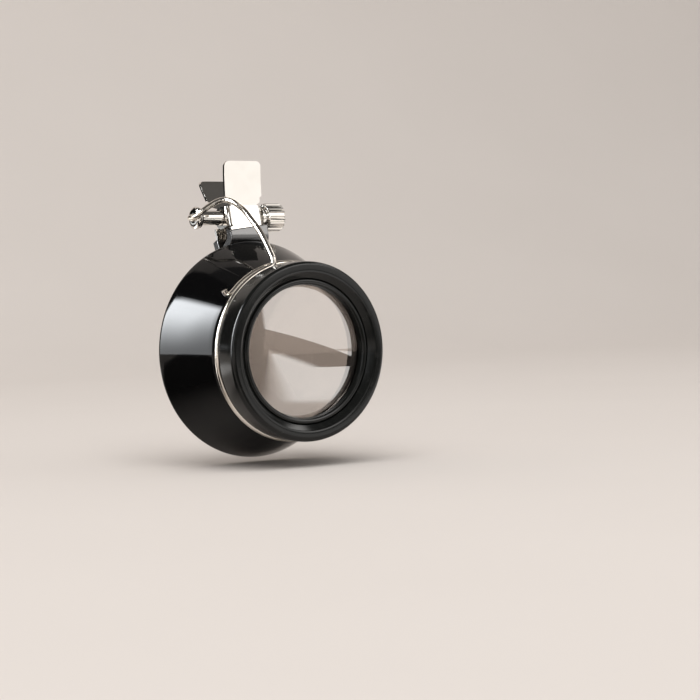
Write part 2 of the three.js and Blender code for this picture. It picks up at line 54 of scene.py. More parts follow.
# The photograph's view: a 700 pixel square, with the bezel's centre at a known pixel
IMAGE = 700
AIM_PIXEL = (310.2, 351.7)
FOCAL_PIXELS = 2163
VIEW_AZIMUTH = -33
VIEW_ELEVATION = 2.4
VIEW_ROLL = -1.2
VIEW_DISTANCE = 430
VIEW_CLIP = 10

# Fineness of the meshes: counts, shares, angles in degrees and distances in millimetres
ROUND = 192
SMALL_ROUND = 96
WIRE_SIDES = 16
SPRING_SIDES = 12
WIRE_STEPS = 6
WIRE_END_EASE = 0.3
WIRE_END_ANGLE = 60
SMOOTH_ANGLE = 40
MOST_EASE = 0.48
MERGE = 0.0005
SOLID_MERGE = 0.001
FLAT_ANGLE = 0.5
NEAR = 0.01
SKIN = 0.1

# Loupe, in millimetres, with depths measured back from the bezel's front plane; the cone's swell and
# step and the seam's start and end are shares of the cone's length
BEZEL_LENGTH = 5.3
BEZEL_EDGE = 1.3
BEZEL_LIP = 0.75
DISH_DEPTH = 1.5
BEAD_WIDTH = 1.4
BEAD_RISE = 0.55
RING_SEAT = 1.15
LENS_INSET = 3.8
LENS_LAP = 1.0
LENS_EDGE = 2.0
LENS_CURVE = 70
LENS_CHAMFER = 0.18
LENS_RINGS = 28
SHIM_GAP = 0.2
BORE_LAP = 0.85
GROOVE_DEPTH = 1.05
COLLAR_STEP = 0.6
CONE_INSET = 0.6
CONE_START = 8.8
CONE_SHOULDER = 0.25
CONE_SWELL = 0.035
CONE_STEP = 0.08
CONE_STEPS = 12
CUP_WALL = 1.6
BORE_RUN = 1.2
FIT = 0.15
SEAM_ANGLE = 33
SEAM_WIDTH = 0.35
SEAM_RISE = 0.05
SEAM_START = 0.02
SEAM_END = 0.96

# Bracket, in millimetres and degrees
WIRE_DIA = 1.2
WIRE_SUNK = 0.45
STRAND_GAP = 0.5
HEAD_OUT = 0.2
HEAD_BEND = 0.75
HEAD_STEP = 30
HEAD_LIFT = 0.2
ARCH_RISE = 3.6
ARCH_REACH = 5.1
CROWN_OUT = 2.2
STEM_OUT = 1.1
FOOT_ANGLE = 13.9
FOOT_BEND = 1.6
FOOT_RISE = 1.6
RING_STEP = 9
CROSS_START = 150
CROSS_END = 335
TAIL_ANGLE = 47
HOOK_RADIUS = 1.1
HOOK_STEP = 25
HOOK_TURN = 125

# Pivot and spring, in millimetres; the floor and side of a valley are shares of one ridge's turn
PIVOT_BORE_R = 1.15
TUBE_EASE = 0.2
WASHER_EASE = 0.1
SCREW_R = 1.0
SCREW_SOCKET = 0.58
SCREW_GAP = 0.1
POLE_R = 0.1
NUT_RIDGES = 22
RIDGE_SIDES = 10
NUT_VALLEY = 0.32
VALLEY_FLOOR = 0.08
VALLEY_SIDE = 0.3
RIM_BLEND = 0.3
NUT_BOSS = 0.6
BOSS_STEP = 1.0
BOSS_CLEAR = 0.1
FACE_STEP = 0.8
PIVOT_CHAMFER = 0.25
SPRING_DIA = 0.5
SPRING_TURNS = 3.5
COIL_STEPS = 16
LEG_RISE = 2.2

# Clip, in millimetres and degrees
CHANNEL_WIDTH = 8.6
SHEET = 0.6
CREASE = 2.5
TAB_AHEAD = 1.95
TAB_LEAN = 3
REAR_BEHIND = 3.0
REAR_CREASE = 0.3
REAR_LEAN = 38
PLATE_EASE = 0.12
SLEEVE_EASE = 0.22
SLEEVE_MOUTH = 0.45
SLEEVE_CUT = 7.4

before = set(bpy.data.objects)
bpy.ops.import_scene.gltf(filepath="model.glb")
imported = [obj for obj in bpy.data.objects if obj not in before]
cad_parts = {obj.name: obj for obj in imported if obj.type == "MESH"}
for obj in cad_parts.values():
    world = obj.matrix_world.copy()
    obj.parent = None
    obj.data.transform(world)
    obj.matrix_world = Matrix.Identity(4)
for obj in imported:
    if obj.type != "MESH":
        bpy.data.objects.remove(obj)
cad_low, cad_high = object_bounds()

bezel_low, bezel_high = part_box("front_bezel")
cup_low, cup_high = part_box("housing")
tube_low, tube_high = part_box("hinge_tube")
screw_low, screw_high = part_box("pivot_screw")
nut_low, nut_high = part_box("knurled_nut")

LOUPE = Vector(((bezel_low.x + bezel_high.x) / 2, bezel_low.y, (bezel_low.z + bezel_high.z) / 2))
PIVOT = Vector((0, (tube_low.y + tube_high.y) / 2, (tube_low.z + tube_high.z) / 2))
BEZEL_R = (bezel_high.x - bezel_low.x) / 2 / MM
RIM_R = (cup_high.x - cup_low.x) / 2 / MM
LOUPE_LENGTH = (cup_high.y - bezel_low.y) / MM
TUBE_R = (tube_high.z - tube_low.z) / 2 / MM
HEAD_R = (screw_high.z - screw_low.z) / 2 / MM
NUT_R = (nut_high.z - nut_low.z) / 2 / MM
LENS_R = BEZEL_R - LENS_INSET
APERTURE_R = LENS_R - LENS_LAP
BORE_R = LENS_R - BORE_LAP
NECK_R = BEZEL_R - GROOVE_DEPTH
COLLAR_R = NECK_R - COLLAR_STEP
CONE_FRONT_R = BEZEL_R - CONE_INSET
SPRING_PITCH = SPRING_DIA + STRAND_GAP


# Measuring helpers

def lerp(a, b, share):
    return a + (b - a) * share


def smooth_step(value, low, high):
    t = min(max((value - low) / (high - low), 0), 1)
    return t * t * (3 - 2 * t)


def curve_points(first, corner, last, steps):
    """Points of a bend from first to last that is drawn towards a corner."""
    shares = [i / steps for i in range(steps + 1)]
    return [first * (1 - t) ** 2 + corner * 2 * t * (1 - t) + last * t * t for t in shares]


def rounded(corners, steps, closed=True):
    """Points of a profile whose corners (depth, radius, rounding) are eased by their own amount."""
    points = []
    count = len(corners)
    for i, (depth, radius, ease) in enumerate(corners):
        here = Vector((depth, radius))
        if ease == 0 or (not closed and i in (0, count - 1)):
            points.append(here)
            continue
        back = Vector(corners[i - 1][:2]) - here
        ahead = Vector(corners[(i + 1) % count][:2]) - here
        reach = min(
            ease / math.tan(back.angle(ahead) / 2),
            MOST_EASE * back.length,
            MOST_EASE * ahead.length,
        )
        start = here + back.normalized() * reach
        end = here + ahead.normalized() * reach
        points += curve_points(start, here, end, steps)
    if closed:
        points.append(points[0])
    return points


# Modelling helpers

def deselect():
    bpy.ops.object.select_all(action="DESELECT")


def take(piece):
    deselect()
    piece.select_set(True)
    bpy.context.view_layer.objects.active = piece


def close_mesh():
    """Merges the doubles of the mesh in edit mode, turns its faces outwards and leaves edit mode."""
    bpy.ops.mesh.select_all(action="SELECT")
    bpy.ops.mesh.remove_doubles(threshold=MERGE * MM)
    bpy.ops.mesh.normals_make_consistent(inside=False)
    bpy.ops.object.mode_set(mode="OBJECT")


def shade_smooth():
    bpy.ops.object.shade_smooth_by_angle(angle=math.radians(SMOOTH_ANGLE))


def ease_edges(piece, width, segments, angle):
    """Rounds every edge sharper than an angle, and shades the rest smooth."""
    take(piece)
    bevel = piece.modifiers.new("edges", "BEVEL")
    bevel.width = width * MM
    bevel.segments = segments
    bevel.limit_method = "ANGLE"
    bevel.angle_limit = math.radians(angle)
    bpy.ops.object.modifier_apply(modifier="edges")
    shade_smooth()
    normals = piece.modifiers.new("normals", "WEIGHTED_NORMAL")
    normals.keep_sharp = True
    bpy.ops.object.modifier_apply(modifier="normals")


# For each axis: its direction, the turn of a circle across it and the sizing of a ring about it
TURNING = {
    "X": (Vector((1, 0, 0)), (0, math.pi / 2, 0), lambda s: (1, s, s)),
    "Y": (Vector((0, 1, 0)), (math.pi / 2, 0, 0), lambda s: (s, 1, s)),
}


def turned(name, origin, axis, profile, sides, poles=False):
    """A piece turned about a line through origin: a circle is drawn out and sized along the profile."""
    deselect()
    along, turn, sizing = TURNING[axis]
    depth, radius = profile[0]
    bpy.ops.mesh.primitive_circle_add(
        vertices=sides,
        radius=radius * MM,
        fill_type="TRIFAN" if poles else "NOTHING",
        location=origin + along * depth * MM,
        rotation=turn,
    )
    piece = bpy.context.object
    piece.name = name
    bpy.ops.object.transform_apply(location=True, rotation=True, scale=True)
    bpy.ops.object.mode_set(mode="EDIT")
    bpy.ops.mesh.select_all(action="SELECT")
    if poles:
        bpy.ops.mesh.region_to_loop()
    for next_depth, next_radius in profile[1:]:
        step = along * (next_depth - depth) * MM
        bpy.ops.mesh.extrude_region_move(TRANSFORM_OT_translate={"value": step})
        bpy.ops.transform.resize(
            value=sizing(next_radius / radius),
            center_override=origin + along * next_depth * MM,
        )
        depth, radius = next_depth, next_radius
    if poles:
        bpy.ops.mesh.extrude_region_move()
        bpy.ops.mesh.merge(type="CENTER")
    close_mesh()
    shade_smooth()
    return piece


def wire(name, points, diameter, sides):
    """A round wire bent through points, its two ends rounded off."""
    deselect()
    bpy.ops.curve.primitive_bezier_curve_add()
    piece = bpy.context.object
    piece.name = name
    curve = piece.data
    curve.splines.clear()
    spline = curve.splines.new("BEZIER")
    spline.bezier_points.add(len(points) - 1)
    for knot, place in zip(spline.bezier_points, points):
        knot.co = place
        knot.handle_left_type = "AUTO"
        knot.handle_right_type = "AUTO"
    curve.dimensions = "3D"
    curve.twist_mode = "MINIMUM"
    curve.resolution_u = WIRE_STEPS
    curve.bevel_depth = diameter / 2 * MM
    curve.bevel_resolution = sides // 2 - 2
    curve.use_fill_caps = True
    bpy.ops.object.convert(target="MESH")
    bpy.ops.object.mode_set(mode="EDIT")
    close_mesh()
    ease_edges(piece, WIRE_END_EASE * diameter, segments=4, angle=WIRE_END_ANGLE)
    return piece


def from_solid(name, node):
    """A copy of a solid's mesh, merged into whole flat faces, ready for its edges."""
    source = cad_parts[node]
    piece = source.copy()
    piece.data = source.data.copy()
    piece.name = name
    piece.parent = None
    for key in list(piece.keys()):
        del piece[key]
    piece.data.materials.clear()
    bpy.context.collection.objects.link(piece)
    take(piece)
    bpy.ops.object.mode_set(mode="EDIT")
    bpy.ops.mesh.select_all(action="SELECT")
    bpy.ops.mesh.remove_doubles(threshold=SOLID_MERGE * MM)
    bpy.ops.mesh.dissolve_limited(angle_limit=math.radians(FLAT_ANGLE))
    bpy.ops.object.mode_set(mode="OBJECT")
    return piece


# Shader nodes

class Socket:
    """A node's output, with operators that add Math nodes."""

    def __init__(self, tree, output):
        self.tree = tree
        self.output = output

    def math(self, operation, *values):
        node = self.tree.nodes.new("ShaderNodeMath")
        node.operation = operation
        for slot, value in zip(node.inputs, values):
            feed(self.tree, slot, value)
        return Socket(self.tree, node.outputs[0])

    def __add__(self, other):
        return self.math("ADD", self, other)

    def __radd__(self, other):
        return self.math("ADD", other, self)

    def __sub__(self, other):
        return self.math("SUBTRACT", self, other)

    def __rsub__(self, other):
        return self.math("SUBTRACT", other, self)

    def __mul__(self, other):
        return self.math("MULTIPLY", self, other)

    def __rmul__(self, other):
        return self.math("MULTIPLY", other, self)


def feed(tree, slot, value):
    """Links a node's output to a slot, or sets the slot to a plain value."""
    if isinstance(value, Socket):
        tree.links.new(value.output, slot)
    else:
        slot.default_value = value


def find_socket(sockets, name):
    """A node's socket by its identifier, written with _ for each space."""
    return next(socket for socket in sockets if socket.identifier.replace(" ", "_") == name)


class Nodes:
    """A node tree whose nodes are made by their kind, settings, values and links."""

    def __init__(self, tree):
        self.tree = tree

    def fill(self, node, **sockets):
        for name, value in sockets.items():
            feed(self.tree, find_socket(node.inputs, name), value)

    def node(self, kind, output, settings=None, **sockets):
        made = self.tree.nodes.new("ShaderNode" + kind)
        for name, value in (settings or {}).items():
            setattr(made, name, value)
        self.fill(made, **sockets)
        return Socket(self.tree, find_socket(made.outputs, output))

    def mix(self, share, first, second):
        """A colour between two others."""
        settings = {"data_type": "RGBA"}
        return self.node("Mix", "Result_Color", settings, Factor_Float=share, A_Color=first, B_Color=second)


class Finish(Nodes):
    """One material, with what its patterns need."""

    def __init__(self, name, **sockets):
        self.material = bpy.data.materials.new(name)
        self.material.use_nodes = True
        super().__init__(self.material.node_tree)
        self.set(**sockets)

    def set(self, **sockets):
        self.fill(self.tree.nodes["Principled BSDF"], **sockets)

    def place(self, stretch=(1, 1, 1)):
        """Object coordinates, in millimetres, stretched along each axis."""
        spot = self.node("TexCoord", "Object")
        return self.node("Mapping", "Vector", Vector=spot, Scale=[s / MM for s in stretch])

    def noise(self, scale, stretch=(1, 1, 1), detail=3, roughness=0.5):
        return self.node(
            "TexNoise", "Fac", Vector=self.place(stretch), Scale=scale, Detail=detail, Roughness=roughness
        )

    def between(self, value, low, high):
        """0 below low, 1 above high, smooth between."""
        settings = {"interpolation_type": "SMOOTHSTEP"}
        return self.node("MapRange", "Result", settings, Value=value, From_Min=low, From_Max=high)

    def bump(self, height, distance):
        return self.node("Bump", "Normal", Height=height, Distance=distance * MM)


def rgb(red, green, blue):
    return (red, green, blue, 1)


# Finishes

def bright_nickel():
    """Rolled sheet with a bright nickel plate: fine rolling lines, faint clouding and handling marks."""
    f = Finish("bright_nickel", Metallic=1.0)
    lines = f.noise(1.6, (6, 6, 0.35))
    cloud = f.noise(0.35, detail=2)
    marks = f.between(f.noise(0.9, (1, 1, 4), detail=6, roughness=0.7), 0.6, 0.75)
    f.set(
        Base_Color=f.mix(cloud, rgb(0.79, 0.765, 0.725), rgb(0.70, 0.67, 0.625)),
        Roughness=0.07 + lines * 0.05 + marks * 0.1,
        Normal=f.bump(lines, 0.002),
    )
    return f.material


def drawn_steel():
    """Drawn spring wire: bright, with fine die lines and slightly browned patches."""
    f = Finish("drawn_steel", Metallic=1.0)
    lines = f.noise(4.0, detail=4, roughness=0.6)
    patch = f.between(f.noise(0.4, detail=3), 0.45, 0.75)
    f.set(
        Base_Color=f.mix(patch, rgb(0.78, 0.735, 0.67), rgb(0.58, 0.52, 0.44)),
        Roughness=0.12 + lines * 0.1 + patch * 0.06,
        Normal=f.bump(lines, 0.004),
    )
    return f.material


def gloss_black():
    """Mirror-moulded black plastic: faint waviness, hairline swirls, a little dust."""
    f = Finish("gloss_black", Metallic=0.0, Specular_IOR_Level=0.25)
    swirl = f.noise(0.5, detail=5, roughness=0.6)
    dust = f.between(f.noise(5.0, detail=2), 0.74, 0.78)
    wave = f.noise(0.12, detail=1)
    f.set(
        Base_Color=f.mix(dust, rgb(0.0035, 0.0035, 0.0037), rgb(0.05, 0.048, 0.045)),
        Roughness=0.035 + swirl * 0.05 + dust * 0.3,
        Normal=f.bump(wave, 0.01),
    )
    return f.material


def satin_black():
    """Turned black plastic: satin, with fine turning grain and rubbed lighter spots."""
    f = Finish("satin_black", Metallic=0.0, Specular_IOR_Level=0.32)
    grain = f.noise(7.0, detail=3)
    rub = f.between(f.noise(0.7, detail=4, roughness=0.6), 0.5, 0.8)
    f.set(
        Base_Color=f.mix(rub, rgb(0.006, 0.0065, 0.006), rgb(0.012, 0.0125, 0.0115)),
        Roughness=0.15 + grain * 0.05 + rub * 0.06,
        Normal=f.bump(grain, 0.003),
    )
    return f.material


def dark_vinyl():
    """Shrunk vinyl sleeve: dark, half gloss, softly rippled."""
    f = Finish("dark_vinyl", Metallic=0.0, Coat_Weight=1.0, Coat_IOR=1.65, Coat_Roughness=0.16)
    ripple = f.noise(0.8, (1, 1, 0.4), detail=2)
    grain = f.noise(8.0, detail=2)
    f.set(
        Base_Color=f.mix(ripple, rgb(0.010, 0.010, 0.010), rgb(0.022, 0.021, 0.021)),
        Roughness=0.18 + grain * 0.1,
        Normal=f.bump(ripple + grain * 0.05, 0.03),
    )
    return f.material


def lens_glass():
    """Polished crown glass with a warm cast and a breath of haze."""
    f = Finish("lens_glass", Metallic=0.0, Roughness=0.0, Transmission_Weight=1.0, IOR=1.52)
    f.set(Specular_Tint=rgb(6, 6, 6))
    haze = f.noise(0.2, detail=3)
    f.set(Base_Color=f.mix(haze, rgb(0.59, 0.525, 0.475), rgb(0.54, 0.48, 0.435)))
    return f.material


def pale_paper():
    """Matt backdrop paper, very faintly clouded."""
    f = Finish("pale_paper", Roughness=0.9, Specular_IOR_Level=0.0)
    cloud = f.noise(0.01, detail=2)
    f.set(Base_Color=f.mix(cloud, rgb(0.72, 0.67, 0.63), rgb(0.69, 0.64, 0.60)))
    return f.material


# The finish of each of the record's material slots
FINISHES = {
    "nickel_plate": bright_nickel(),
    "spring_wire": drawn_steel(),
    "gloss_black_plastic": gloss_black(),
    "satin_black_plastic": satin_black(),
    "dark_vinyl": dark_vinyl(),
    "optical_glass": lens_glass(),
}


def finish_piece(piece, slot, body, node):
    """Gives a piece the finish of its slot, the body that carries it and the solid that it stands for."""
    piece.data.materials.clear()
    piece.data.materials.append(FINISHES[slot])
    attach(piece, body)
    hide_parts(node)


# Loupe

def sag(radius):
    """How far the lens's face falls back from its middle at a radius."""
    return LENS_CURVE - math.sqrt(LENS_CURVE ** 2 - radius ** 2)


BEAD_R = APERTURE_R + BEAD_WIDTH
RING_BACK = DISH_DEPTH + RING_SEAT
COLLAR_FRONT = RING_BACK + SHIM_GAP
LENS_FRONT = COLLAR_FRONT + SHIM_GAP
LENS_BACK = LENS_FRONT + LENS_EDGE
LENS_SEAT = LENS_BACK + sag(LENS_R) - sag(BORE_R) + FIT


def polished_lens():
    inmost = 0.4
    face_r = LENS_R - LENS_CHAMFER
    rings = [LENS_R * (i + inmost) / (LENS_RINGS + inmost) for i in range(LENS_RINGS)]
    rings = [r for r in rings if r < face_r - SKIN]
    front = [(LENS_FRONT - sag(LENS_R) + sag(r), r) for r in rings]
    back = [(LENS_BACK + sag(LENS_R) - sag(r), r) for r in reversed(rings)]
    edge = [
        (LENS_FRONT, face_r),
        (LENS_FRONT + LENS_CHAMFER, LENS_R),
        (LENS_BACK - LENS_CHAMFER, LENS_R),
        (LENS_BACK, face_r),
    ]
    return turned("polished_lens", LOUPE, "Y", front + edge + back, ROUND, poles=True)


def retaining_bead():
    front = DISH_DEPTH - BEAD_RISE
    crest_r = BEAD_R - BEAD_WIDTH * 0.4
    inner_fall, inner_step = 0.25, 0.6
    outer_fall, outer_step = 0.22, 0.1
    back_fall, back_step = 0.35, 0.3
    profile = rounded(
        [
            (RING_BACK - back_fall, APERTURE_R, 0.1),
            (front + inner_fall, crest_r - inner_step, 0.5),
            (front, crest_r, 0.9),
            (front + outer_fall, BEAD_R - outer_step, 0.4),
            (RING_BACK, BEAD_R, 0.08),
            (RING_BACK, APERTURE_R + back_step, 0.08),
        ],
        steps=8,
    )
    return turned("retaining_bead", LOUPE, "Y", profile, ROUND)


def bezel_ring():
    lip_in = BEZEL_R - BEZEL_EDGE - BEZEL_LIP
    dish_in = BEAD_R + FIT / 3
    dish_back = DISH_DEPTH * 0.76
    middle_depth = DISH_DEPTH * 0.42
    middle_r = lerp(dish_in, lip_in, 0.45)
    profile = rounded(
        [
            (RING_BACK, dish_in, 0.03),
            (dish_back, dish_in, 0.12),
            (middle_depth, middle_r, 0.9),
            (0, lip_in, 1.1),
            (0, BEZEL_R, BEZEL_EDGE),
            (BEZEL_LENGTH, BEZEL_R, 0.35),
            (BEZEL_LENGTH, COLLAR_R + FIT, 0.1),
            (RING_BACK, COLLAR_R + FIT, 0.1),
        ],
        steps=8,
    )
    return turned("bezel_ring", LOUPE, "Y", profile, ROUND)


def cup_radius(share):
    """The cone's outer radius: nearly straight, with a slight swell."""
    return lerp(CONE_FRONT_R, RIM_R, share + CONE_SWELL * math.sin(math.pi * share))


def eye_cup():
    length = LOUPE_LENGTH - CONE_START
    shares = [CONE_STEP * i for i in range(1, CONE_STEPS)]
    outer = [(CONE_START + length * s, cup_radius(s), 0) for s in shares]
    throat = CONE_START + length * 0.33
    throat_r = cup_radius(0.36) - CUP_WALL
    profile = rounded(
        [
            (COLLAR_FRONT, LENS_R + FIT, 0.1),
            (COLLAR_FRONT, COLLAR_R, 0.15),
            (BEZEL_LENGTH + FIT, COLLAR_R, 0.05),
            (BEZEL_LENGTH + FIT, NECK_R, 0.15),
            (CONE_START - CONE_SHOULDER, NECK_R, 0.12),
            (CONE_START, CONE_FRONT_R, 0.25),
            *outer,
            (LOUPE_LENGTH, RIM_R, CUP_WALL / 2),
            (LOUPE_LENGTH, RIM_R - CUP_WALL, CUP_WALL / 2),
            (throat, throat_r, 3.0),
            (CONE_START + BORE_RUN, BORE_R, 0.6),
            (LENS_SEAT, BORE_R, 0.1),
            (LENS_SEAT, LENS_R + FIT, 0.05),
        ],
        steps=6,
    )
    piece = turned("eye_cup", LOUPE, "Y", profile, ROUND)
    mould_seam(piece)
    return piece


def seam_normal(turn):
    """The normal of the mould's parting plane, turned a few degrees about the optical axis."""
    a = math.radians(SEAM_ANGLE + turn)
    return Vector((math.cos(a), 0, math.sin(a)))


def mould_seam(piece):
    """A fine parting line down the cone, on both sides, where the two halves of the mould met."""
    take(piece)
    bpy.ops.object.mode_set(mode="EDIT")
    half = math.degrees(SEAM_WIDTH / 2 / RIM_R)
    for turn in (-half, 0, half):
        bpy.ops.mesh.select_all(action="SELECT")
        bpy.ops.mesh.bisect(plane_co=LOUPE, plane_no=seam_normal(turn))
    bpy.ops.object.mode_set(mode="OBJECT")
    normal = seam_normal(0)
    for vertex in piece.data.vertices:
        out = vertex.co - LOUPE
        share = (out.y / MM - CONE_START) / (LOUPE_LENGTH - CONE_START)
        out.y = 0
        on_cone = SEAM_START < share < SEAM_END and abs(out.length / MM - cup_radius(share)) < SKIN
        if on_cone and abs(out.dot(normal)) < NEAR * MM:
            vertex.co += out.normalized() * SEAM_RISE * MM
    shade_smooth()


# Bracket: points of the wire in millimetres from the pivot

def on_ring(angle, radius, y):
    """A point on a ring about the optical axis; angle 0 is at the top."""
    a = math.radians(angle)
    centre = (LOUPE - PIVOT) / MM
    return Vector((centre.x + radius * math.sin(a), y, centre.z + radius * math.cos(a)))


def head_bend(leave):
    """The bend from straight out of the screw's head to ahead and slightly up."""
    away = Vector((0, -1, HEAD_LIFT)).normalized()
    points = []
    for angle in range(HEAD_STEP, 90 + 1, HEAD_STEP):
        a = math.radians(angle)
        out = Vector((-HEAD_BEND * math.sin(a), 0, 0))
        points.append(leave + out + away * HEAD_BEND * (1 - math.cos(a)))
    return points


def neck_turn(ring_r, ring_y, foot_turn):
    """More than one turn round the neck, stepping aside to pass beside its own start."""
    second_y = ring_y + WIRE_DIA + STRAND_GAP
    turn = 360 + TAIL_ANGLE - FOOT_ANGLE
    steps = round(turn / RING_STEP)
    points = []
    for i in range(1, steps + 1):
        swept = lerp(foot_turn, turn, i / steps)
        y = lerp(ring_y, second_y, smooth_step(swept, CROSS_START, CROSS_END))
        points.append(on_ring(-FOOT_ANGLE - swept, ring_r, y))
    return points


def hooked_end(end):
    """The hook that turns the wire's end away from the neck."""
    tail = math.radians(TAIL_ANGLE)
    out = Vector((-math.sin(tail), 0, math.cos(tail)))
    on = Vector((-math.cos(tail), 0, -math.sin(tail)))
    centre = end + out * HOOK_RADIUS
    points = []
    for angle in range(HOOK_STEP, HOOK_TURN + 1, HOOK_STEP):
        a = math.radians(angle)
        points.append(centre - out * HOOK_RADIUS * math.cos(a) + on * HOOK_RADIUS * math.sin(a))
    return points


def bracket_route():
    """Out of the screw's head, over an arch, down the stem to its foot and round the neck to the hook."""
    ring_r = NECK_R + FIT + WIRE_DIA / 2
    ring_y = (LOUPE.y - PIVOT.y) / MM + BEZEL_LENGTH + 2 * FIT + WIRE_DIA / 2
    head_left = screw_low.x / MM
    wire_x = head_left - HEAD_OUT - HEAD_BEND
    crown_x = -CHANNEL_WIDTH / 2 - CROWN_OUT
    stem_x = -CHANNEL_WIDTH / 2 - STEM_OUT

    def arch(across, ahead, rise):
        return Vector((lerp(wire_x, crown_x, across), -ahead * ARCH_REACH, rise * ARCH_RISE))

    leave = Vector((head_left - HEAD_OUT, 0, 0))
    foot = on_ring(-FOOT_ANGLE, ring_r, ring_y)
    riser = foot + Vector((0, 0, FOOT_RISE))
    brow = Vector((stem_x, -1.72 * ARCH_REACH, 0.67 * ARCH_RISE))
    knee = Vector((stem_x, lerp(brow.y, foot.y, 0.4), lerp(brow.z, foot.z, 0.24)))
    route = [
        Vector((head_left + WIRE_SUNK, 0, 0)),
        Vector((head_left, 0, 0)),
        leave,
        *head_bend(leave),
        arch(0.055, 0.5, 0.1),
        arch(0.2, 0.71, 0.37),
        arch(0.48, 0.8, 0.67),
        arch(0.755, 0.88, 0.9),
        arch(1, 1, 1),
        Vector((lerp(crown_x, stem_x, 0.65), -1.3 * ARCH_REACH, 0.93 * ARCH_RISE)),
        brow,
        lerp(brow, knee, 0.5) + Vector((0, -WIRE_DIA / 8, WIRE_DIA / 6)),
        knee,
    ]
    upper = riser + (knee - riser).normalized() * FOOT_RISE / 2
    bow = Vector((0, -WIRE_DIA / 5, WIRE_DIA / 4))
    route += [lerp(knee, upper, share) + bow for share in (0.33, 0.66)]
    route += curve_points(upper, riser, riser - Vector((0, 0, FOOT_RISE * 0.45)), steps=2)
    foot_turn = math.degrees(FOOT_BEND / ring_r)
    on_foot = on_ring(-FOOT_ANGLE - foot_turn, ring_r, ring_y)
    route += curve_points(foot + Vector((0, 0, FOOT_RISE * 0.5)), foot, on_foot, steps=4)
    route += neck_turn(ring_r, ring_y, foot_turn)
    route += hooked_end(route[-1])
    return [PIVOT + p * MM for p in route]


def bent_wire():
    return wire("bent_wire", bracket_route(), WIRE_DIA, WIRE_SIDES)


# Pivot

def mm_x(place):
    """How far a place lies along X from the pivot, in millimetres."""
    return (place.x - PIVOT.x) / MM


def ring_piece(name, node, ease):
    """A plain tube or washer along X with eased edges."""
    low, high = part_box(node)
    outer = (high.z - low.z) / 2 / MM
    left, right = mm_x(low), mm_x(high)
    profile = rounded(
        [
            (left, PIVOT_BORE_R, ease / 2),
            (left, outer, ease),
            (right, outer, ease),
            (right, PIVOT_BORE_R, ease / 2),
        ],
        steps=4,
    )
    return turned(name, PIVOT, "X", profile, SMALL_ROUND)


def domed_screw():
    left, right = mm_x(screw_low), mm_x(screw_high)
    head_right = mm_x(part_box("friction_washer")[0]) - SCREW_GAP
    socket_r = WIRE_DIA / 2 + FIT
    profile = rounded(
        [
            (left + SCREW_SOCKET, POLE_R, 0),
            (left + SCREW_SOCKET, socket_r, 0.05),
            (left, socket_r, 0.08),
            (left + 0.05, HEAD_R - 0.6, 0.3),
            (left + 0.3, HEAD_R - 0.1, 0.4),
            (head_right, HEAD_R, 0.12),
            (head_right, SCREW_R, 0.1),
            (right - PIVOT_CHAMFER, SCREW_R, 0.1),
            (right, SCREW_R - PIVOT_CHAMFER, 0.08),
            (right, POLE_R, 0),
        ],
        steps=4,
        closed=False,
    )
    return turned("domed_screw", PIVOT, "X", profile, SMALL_ROUND, poles=True)


def ridged_nut():
    left, right = mm_x(nut_low), mm_x(nut_high)
    boss_r = NUT_R - BOSS_STEP
    start = left + NUT_BOSS
    bore_r = SCREW_R + FIT
    profile = rounded(
        [
            (left, bore_r, 0.08),
            (left, boss_r, 0.1),
            (start, boss_r, 0.05),
            (start, NUT_R - PIVOT_CHAMFER, 0.1),
            (start + PIVOT_CHAMFER, NUT_R, 0.1),
            (right - PIVOT_CHAMFER, NUT_R, 0.1),
            (right, NUT_R - PIVOT_CHAMFER, 0.1),
            (right, NUT_R - FACE_STEP, 0.05),
            (right, bore_r, 0.12),
        ],
        steps=4,
    )
    piece = turned("ridged_nut", PIVOT, "X", profile, NUT_RIDGES * RIDGE_SIDES)
    press_valleys(piece, boss_r + BOSS_CLEAR, start - NEAR)
    return piece


def press_valleys(piece, least_r, start):
    """Presses rounded valleys into the nut's rim, outside a radius and to the right of a place along X."""
    for vertex in piece.data.vertices:
        out = vertex.co - PIVOT
        depth = out.x / MM
        out.x = 0
        radius = out.length / MM
        if radius < least_r or depth < start:
            continue
        turn = math.atan2(out.z, out.y) / math.tau * NUT_RIDGES % 1
        valley = 1 - smooth_step(min(turn, 1 - turn), VALLEY_FLOOR, VALLEY_SIDE)
        reach = smooth_step(radius, least_r, NUT_R - RIM_BLEND)
        vertex.co -= out.normalized() * NUT_VALLEY * valley * reach * MM
    shade_smooth()


def spring_coil():
    coil_r = TUBE_R + FIT + SPRING_DIA / 2
    steps = round(SPRING_TURNS * COIL_STEPS)
    points = []
    for i in range(steps + 1):
        a = math.tau * SPRING_TURNS * i / steps
        x = SPRING_PITCH * SPRING_TURNS * (i / steps - 0.5)
        points.append(Vector((x, -coil_r * math.cos(a), -coil_r * math.sin(a))))
    return points


def torsion_spring():
    """A coil round the hinge tube, with a leg up the inside of each jaw's tab."""
    coil = spring_coil()
    clear = SHEET / 2 + FIT + SPRING_DIA / 2
    leg_top = CREASE + LEG_RISE
    front_leg = []
    for share in (1, 0.5):
        z = leg_top * share
        y = clear - TAB_AHEAD + (z - CREASE) * math.tan(math.radians(TAB_LEAN))
        front_leg.append(Vector((coil[0].x, y, z)))
    lean = math.radians(REAR_LEAN)
    rear_leg = []
    for share in (0.45, 0.75, 1):
        z = leg_top * share
        y = REAR_BEHIND + (z - REAR_CREASE) * math.tan(lean) - clear / math.cos(lean)
        rear_leg.append(Vector((coil[-1].x, y, z)))
    points = [PIVOT + p * MM for p in front_leg + coil + rear_leg]
    return wire("torsion_spring", points, SPRING_DIA, SPRING_SIDES)


# Clip

